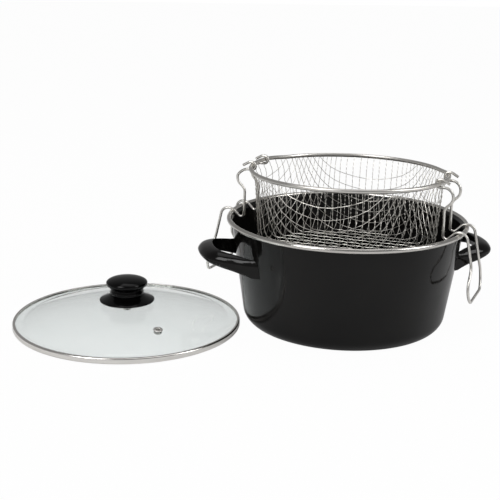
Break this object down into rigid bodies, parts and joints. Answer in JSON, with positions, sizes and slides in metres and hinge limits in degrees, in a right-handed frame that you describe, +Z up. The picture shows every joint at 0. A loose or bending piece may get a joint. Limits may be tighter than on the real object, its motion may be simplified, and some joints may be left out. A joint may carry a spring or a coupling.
{
  "type": "stovetop deep fryer",
  "caption": "Enamelled chip pan with D handles, a woven wire frying basket hung over the rim on wire bails, and a domed glass lid with a knob lying beside it.",
  "frame": {"origin": "centre of the pot's flat base, on the surface it stands on", "axes": "+Z up along the pot's axis, +X along the line of the two handles and away from the lid, +Y away from the viewer in the picture"},
  "size_m": [0.5045, 0.2514, 0.1681],
  "materials": {
    "enamel": "black glossy vitreous enamel on steel",
    "rim_steel": "stainless band, satin polish",
    "ring_steel": "plated steel strip, rolled round the ring",
    "net_wire": "tinned steel wire, woven",
    "bail_wire": "plated steel wire, bent",
    "lid_glass": "clear tempered glass with a faint green tint",
    "lid_steel": "stainless band and eyelet, polished",
    "phenolic": "black phenolic, glossy",
    "brass": "turned brass insert",
    "screw_steel": "zinc-plated steel",
    "silicone": "pale grey silicone"
  },
  "bodies": {
    "pot": {"pot_vessel": "enamel", "pot_rim_band": "rim_steel", "pot_handle_left": "enamel", "pot_handle_right": "enamel"},
    "basket": {"basket_mesh": "net_wire", "basket_rim_sleeve": "ring_steel", "basket_rim_wire": "net_wire"},
    "bail_left": {"basket_bail_left": "bail_wire"},
    "bail_right": {"basket_bail_right": "bail_wire"},
    "lid": {"lid_glass": "lid_glass", "lid_rim_band": "lid_steel", "lid_vent_eyelet": "lid_steel", "knob_grip": "phenolic", "knob_skirt": "phenolic", "knob_insert": "brass", "knob_screw": "screw_steel", "knob_washer": "screw_steel", "knob_seal_upper": "silicone", "knob_seal_lower": "silicone"}
  },
  "joints": [
    {"name": "basket_lift", "type": "slide", "parent": "pot", "child": "basket", "axis": [0, 0, 1], "range_m": [0, 0.3]},
    {"name": "bail_right_swing", "type": "hinge", "parent": "basket", "child": "bail_right", "pos_m": [0.08703, -0.04904, 0.1625], "axis": [-0.4909, -0.8712, 0], "range_deg": [0, 120.5]},
    {"name": "bail_left_swing", "type": "hinge", "parent": "basket", "child": "bail_left", "pos_m": [-0.08909, 0.0452, 0.1625], "axis": [0.4524, 0.8918, 0], "range_deg": [0, 120.5]},
    {"name": "lid_lift", "type": "slide", "parent": "pot", "child": "lid", "axis": [-0.7071, 0, 0.7071], "range_m": [0, 0.25]}
  ],
  "couplings": [
    {"joint": "bail_right_swing", "follows": "basket_lift", "rad_per_m": 6.9813},
    {"joint": "bail_left_swing", "follows": "basket_lift", "rad_per_m": 6.9813}
  ]
}
